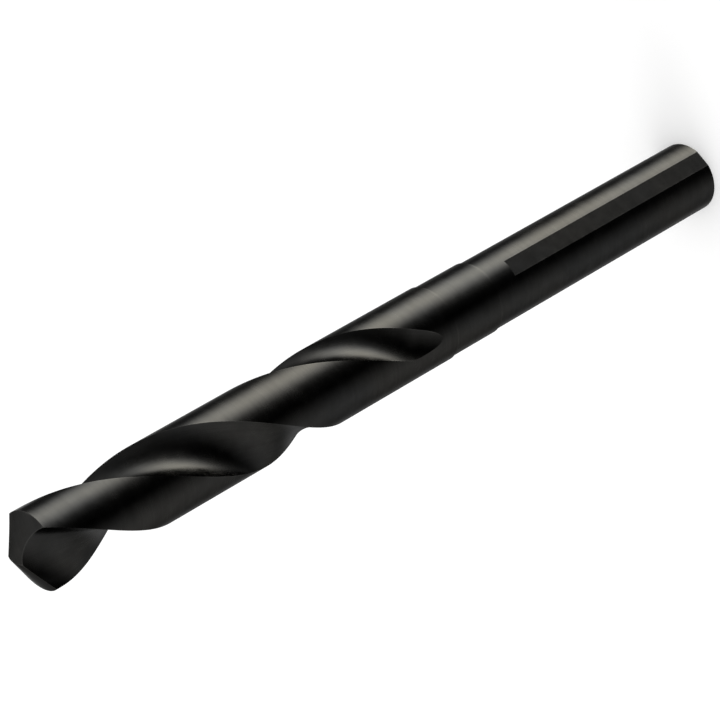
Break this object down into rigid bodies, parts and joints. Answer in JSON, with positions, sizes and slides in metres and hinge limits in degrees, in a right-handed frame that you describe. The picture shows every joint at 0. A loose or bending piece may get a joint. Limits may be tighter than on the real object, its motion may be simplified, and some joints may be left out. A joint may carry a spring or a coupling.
{
  "type": "reduced-shank twist drill bit",
  "caption": "Black steel twist drill bit with tapering helical flutes, a short neck and a thinner flatted shank, standing on its shank end.",
  "frame": {"origin": "centre of the shank's flat end face, which the drill stands on", "axes": "+Z along the drill's axis towards its point, and +X out of the first shank flat"},
  "size_m": [0.0134, 0.0134, 0.156],
  "materials": {
    "black_oxide_steel": "satin black oxide"
  },
  "bodies": {
    "root": {"drill_bit": "black_oxide_steel"}
  },
  "joints": []
}
